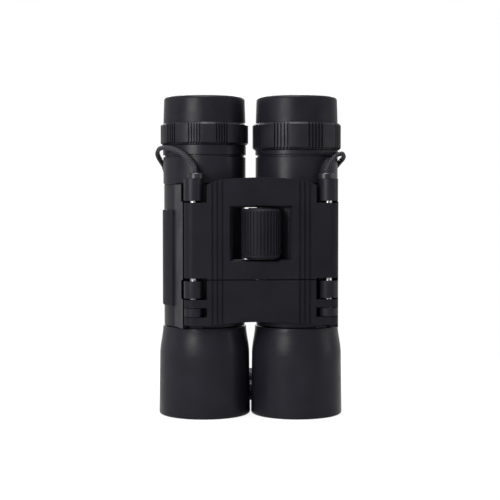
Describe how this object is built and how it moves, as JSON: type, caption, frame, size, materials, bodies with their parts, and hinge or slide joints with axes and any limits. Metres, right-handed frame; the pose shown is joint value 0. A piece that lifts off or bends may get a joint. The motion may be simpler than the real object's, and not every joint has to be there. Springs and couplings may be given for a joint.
{
  "type": "binoculars",
  "caption": "Compact folding binoculars: barrels on a hinged bridge with a fluted focus wheel, rubber eyecups, a dioptre ring and a thin neck cord.",
  "frame": {"origin": "centre of the binoculars' box, on the surface that the objective rims stand on", "axes": "+Z along the barrels towards the eyepieces, +Y from the bridge to the back, +X to the right"},
  "size_m": [0.0665, 0.0947, 0.109],
  "materials": {
    "barrel_plastic": "fine satin soft-touch moulding",
    "bridge_plastic": "fine matte moulding",
    "eye_plastic": "semi-gloss",
    "grip_rubber": "matte rubber",
    "ring_rubber": "matte grooved rubber",
    "eyecup_rubber": "soft matte rubber",
    "wheel_rubber": "fluted matte rubber",
    "inner_plastic": "matte light-trap black",
    "black_metal": "black anodised",
    "steel": "drawn bright",
    "dark_steel": "black oxide on turned steel",
    "brass": "turned",
    "objective_glass": "coated, violet sheen",
    "eyepiece_glass": "coated",
    "prism_glass": "polished",
    "cord": "fine round braid",
    "crimp": "black, semi-gloss"
  },
  "bodies": {
    "bridge": {"bridge_housing": "bridge_plastic", "bridge_back_cover": "bridge_plastic", "cover_screws": "steel", "left_hinge_pin": "steel", "right_hinge_pin": "steel", "left_cord_crimp": "crimp", "right_cord_crimp": "crimp", "neck_cord": "cord"},
    "focus_wheel": {"focus_wheel": "wheel_rubber", "focus_screw": "dark_steel", "wheel_washers": "dark_steel"},
    "focus_carrier": {"focus_carrier": "bridge_plastic", "focus_nut": "brass"},
    "left_barrel": {"left_barrel_body": "barrel_plastic", "left_grip_pad": "grip_rubber", "left_eyepiece_housing": "barrel_plastic", "left_eyepiece_ring": "ring_rubber", "left_eyecup": "eyecup_rubber", "left_ocular_cell": "black_metal", "left_eye_lens": "eyepiece_glass", "left_eye_lens_keeper": "black_metal", "left_field_lens": "eyepiece_glass", "left_field_stop": "black_metal", "left_prism_cage": "inner_plastic", "left_half_penta_prism": "prism_glass", "left_roof_prism": "prism_glass", "left_strap_eye": "eye_plastic", "left_strap_cord_front": "cord", "left_strap_cord_rear": "cord"},
    "right_barrel": {"right_barrel_body": "barrel_plastic", "right_grip_pad": "grip_rubber", "right_eyepiece_housing": "barrel_plastic", "right_prism_cage": "inner_plastic", "right_half_penta_prism": "prism_glass", "right_roof_prism": "prism_glass", "right_strap_eye": "eye_plastic", "right_strap_cord_front": "cord", "right_strap_cord_rear": "cord"},
    "left_objective": {"left_objective_tube": "barrel_plastic", "left_objective_lens": "objective_glass", "left_objective_keeper": "black_metal"},
    "right_objective": {"right_objective_tube": "barrel_plastic", "right_objective_lens": "objective_glass", "right_objective_keeper": "black_metal"},
    "diopter": {"diopter_ring": "ring_rubber", "right_eyecup": "eyecup_rubber"},
    "right_ocular": {"right_ocular_cell": "black_metal", "right_eye_lens": "eyepiece_glass", "right_eye_lens_keeper": "black_metal", "right_field_lens": "eyepiece_glass", "right_field_stop": "black_metal"}
  },
  "joints": [
    {"name": "focus_turn", "type": "hinge", "parent": "bridge", "child": "focus_wheel", "pos_m": [0.00238, -0.01327, 0.06], "axis": [0, 0, 1], "range_deg": [0, 400]},
    {"name": "carrier_slide", "type": "slide", "parent": "bridge", "child": "focus_carrier", "axis": [0, 0, -1], "range_m": [0, 0.003]},
    {"name": "left_fold", "type": "hinge", "parent": "bridge", "child": "left_barrel", "pos_m": [-0.02022, -0.01257, 0.06], "axis": [0, 0, 1], "range_deg": [0, 71.5], "deforming": ["left_strap_cord_front", "left_strap_cord_rear"]},
    {"name": "right_fold", "type": "hinge", "parent": "bridge", "child": "right_barrel", "pos_m": [0.02498, -0.01257, 0.06], "axis": [0, 0, -1], "range_deg": [0, 88.5], "deforming": ["right_strap_cord_front", "right_strap_cord_rear"]},
    {"name": "left_objective_slide", "type": "slide", "parent": "left_barrel", "child": "left_objective", "axis": [0, 0, -1], "range_m": [0, 0.003]},
    {"name": "right_objective_slide", "type": "slide", "parent": "right_barrel", "child": "right_objective", "axis": [0, 0, -1], "range_m": [0, 0.003]},
    {"name": "diopter_turn", "type": "hinge", "parent": "right_barrel", "child": "diopter", "pos_m": [0.01584, 0.00235, 0.095], "axis": [0, 0, 1], "range_deg": [-35, 35]},
    {"name": "right_ocular_slide", "type": "slide", "parent": "right_barrel", "child": "right_ocular", "axis": [0, 0, 1], "range_m": [-0.0015, 0.0015]}
  ],
  "couplings": [
    {"joint": "focus_turn", "follows": "carrier_slide", "rad_per_m": 2326.9},
    {"joint": "left_objective_slide", "follows": "carrier_slide", "ratio": 1},
    {"joint": "right_objective_slide", "follows": "carrier_slide", "ratio": 1},
    {"joint": "diopter_turn", "follows": "right_ocular_slide", "rad_per_m": 407.2}
  ]
}
